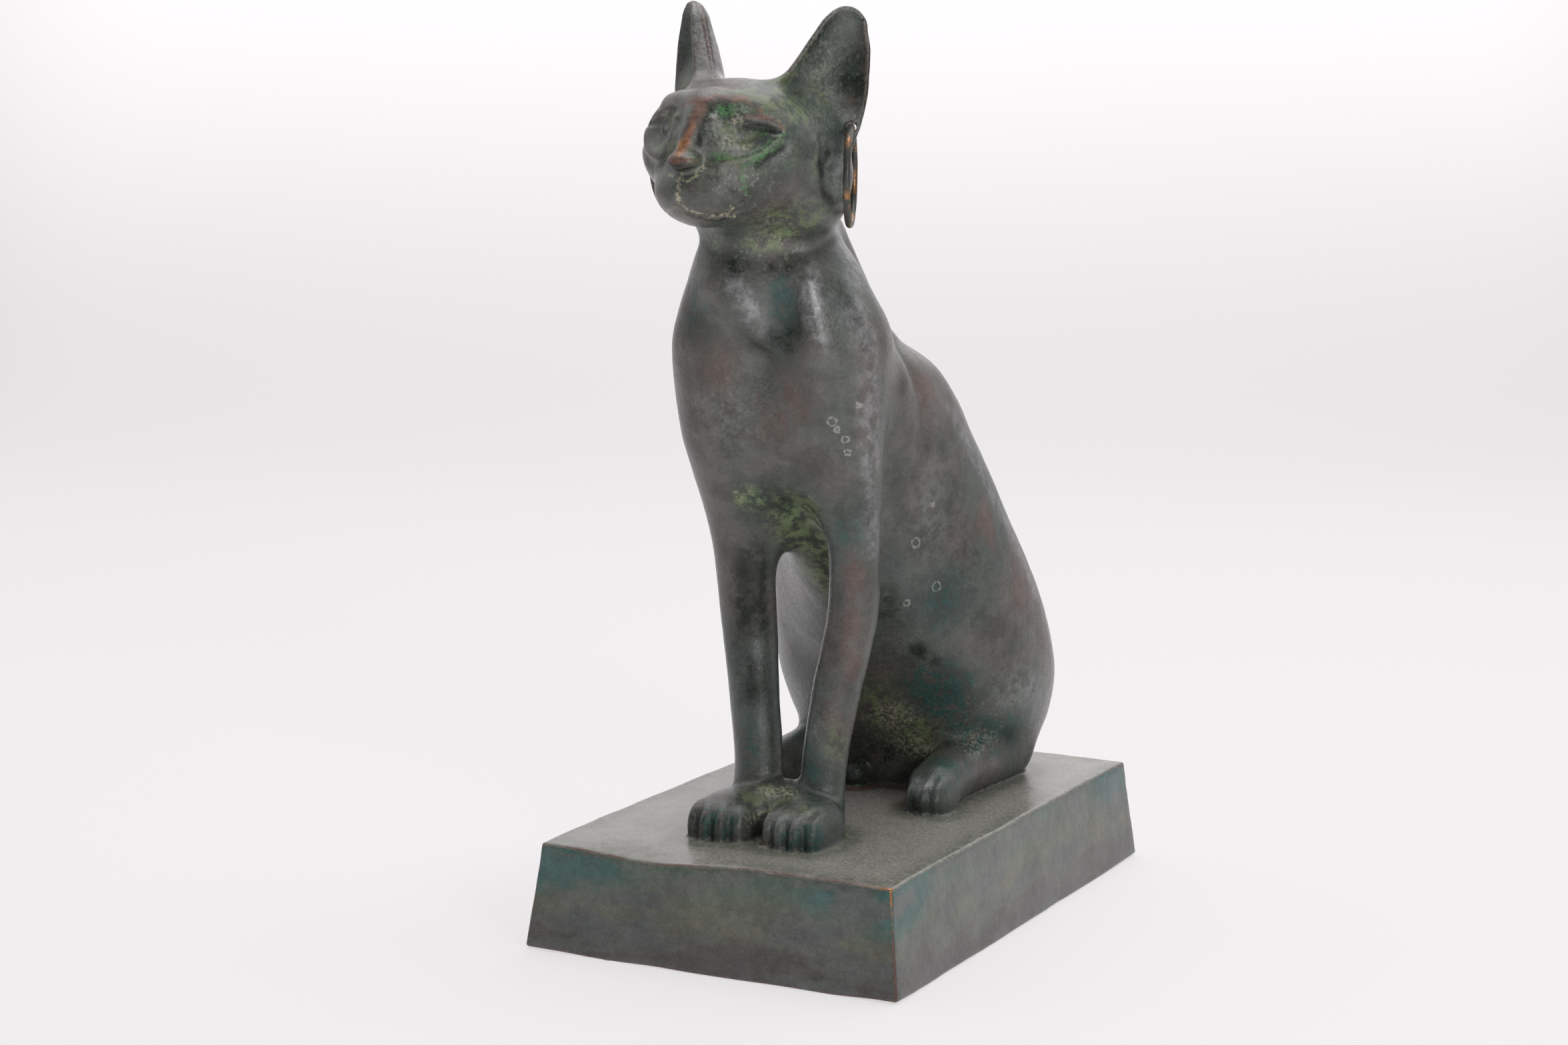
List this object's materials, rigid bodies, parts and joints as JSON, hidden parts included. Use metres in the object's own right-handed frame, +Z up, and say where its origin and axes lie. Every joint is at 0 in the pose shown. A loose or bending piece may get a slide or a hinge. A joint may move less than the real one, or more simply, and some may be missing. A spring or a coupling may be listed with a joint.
{
  "type": "cat statue",
  "caption": "Bronze figure of a slender cat sitting upright on a tapered rectangular plinth, forelegs straight and ears raised, with a wire ring earring through each ear.",
  "frame": {"origin": "centre of the underside of the plinth", "axes": "+Z up, the cat faces -Y, its left is +X"},
  "size_m": [0.125, 0.2059, 0.2856],
  "materials": {
    "patinated_bronze": "old cast bronze with a satin brown and grey-green patina, malachite green in the hollows and worn copper on the nose",
    "worn_copper_wire": "tarnished copper wire, worn bright along its edges"
  },
  "bodies": {
    "root": {"cat_statue": "patinated_bronze", "left_earring": "worn_copper_wire", "right_earring": "worn_copper_wire"}
  },
  "joints": []
}
